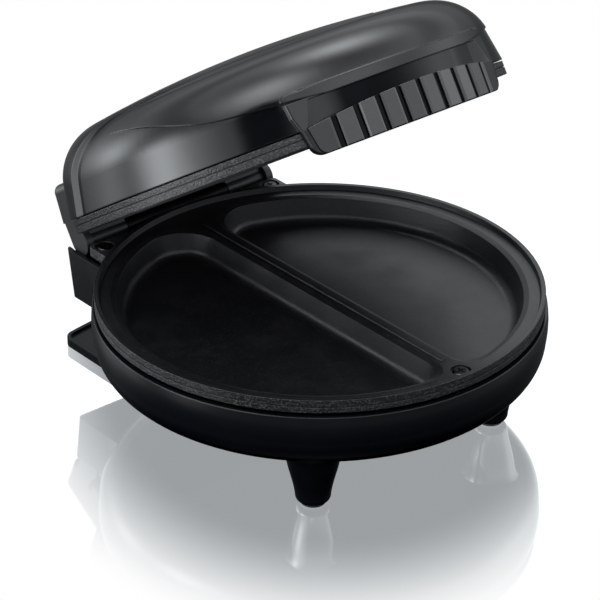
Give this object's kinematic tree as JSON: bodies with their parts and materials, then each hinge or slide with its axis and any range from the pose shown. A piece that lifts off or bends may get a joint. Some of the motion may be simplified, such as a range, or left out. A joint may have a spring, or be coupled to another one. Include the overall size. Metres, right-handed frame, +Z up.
{
  "type": "electric omelette maker",
  "caption": "Round countertop omelette maker with half-moon wells in mirrored plates and a domed lid hinged at the back.",
  "frame": {"origin": "on the table, under the middle of the part's outline seen from above; the axis of the round plates is 13.7 mm in front of it", "axes": "+Z up; -Y towards the grip, the side a person stands at; +Y towards the hinge; +X to the right seen from the front"},
  "size_m": [0.2232, 0.2506, 0.2209],
  "materials": {
    "housing_gloss": "high-gloss black, moulded",
    "leg_gloss": "gloss black, moulded",
    "cover_gloss": "high-gloss black, moulded",
    "grip_gloss": "gloss black, moulded",
    "stand_satin": "satin black, moulded",
    "bracket_satin": "satin black, moulded",
    "foot_rubber": "matt dark grey",
    "plate_nonstick": "dark non-stick coating on cast aluminium",
    "plate_screw": "dark zinc-plated steel",
    "case_screw": "zinc-plated steel",
    "hinge_steel": "drawn steel rod",
    "element_steel": "dull sheathed tube",
    "clamp_steel": "pressed steel",
    "shield_aluminium": "bare sheet",
    "control_metal": "pressed steel",
    "terminal_ceramic": "unglazed steatite",
    "gland_plastic": "matt black",
    "lens_red": "clear red",
    "lens_green": "clear green",
    "lamp_glass": "clear glass",
    "holder_plastic": "matt dark grey"
  },
  "bodies": {
    "base": {"base_housing": "housing_gloss", "front_leg_left": "leg_gloss", "front_leg_right": "leg_gloss", "rear_stand": "stand_satin", "foot_pads": "foot_rubber", "leg_screws": "case_screw", "stand_screws": "case_screw", "lower_cooking_plate": "plate_nonstick", "lower_plate_screws": "plate_screw", "lower_heating_element": "element_steel", "lower_element_clamps": "clamp_steel", "lower_heat_shield": "shield_aluminium", "lower_shield_screws": "case_screw", "thermostat": "control_metal", "thermal_fuse": "control_metal", "terminal_block": "terminal_ceramic", "cord_gland": "gland_plastic", "hinge_pin": "hinge_steel"},
    "lid": {"lid_cover": "cover_gloss", "handle_grip": "grip_gloss", "lid_hinge_bracket": "bracket_satin", "bracket_screws": "case_screw", "upper_cooking_plate": "plate_nonstick", "upper_plate_screws": "plate_screw", "upper_heating_element": "element_steel", "upper_element_clamps": "clamp_steel", "upper_heat_shield": "shield_aluminium", "upper_shield_screws": "case_screw", "power_lens": "lens_red", "ready_lens": "lens_green", "neon_lamps": "lamp_glass", "lamp_holder": "holder_plastic", "holder_screws": "case_screw"}
  },
  "joints": [
    {"name": "lid_hinge", "type": "hinge", "parent": "base", "child": "lid", "pos_m": [0, 0.1017, 0.0662], "axis": [-1, 0, 0], "range_deg": [-33.1, 66.9]}
  ]
}
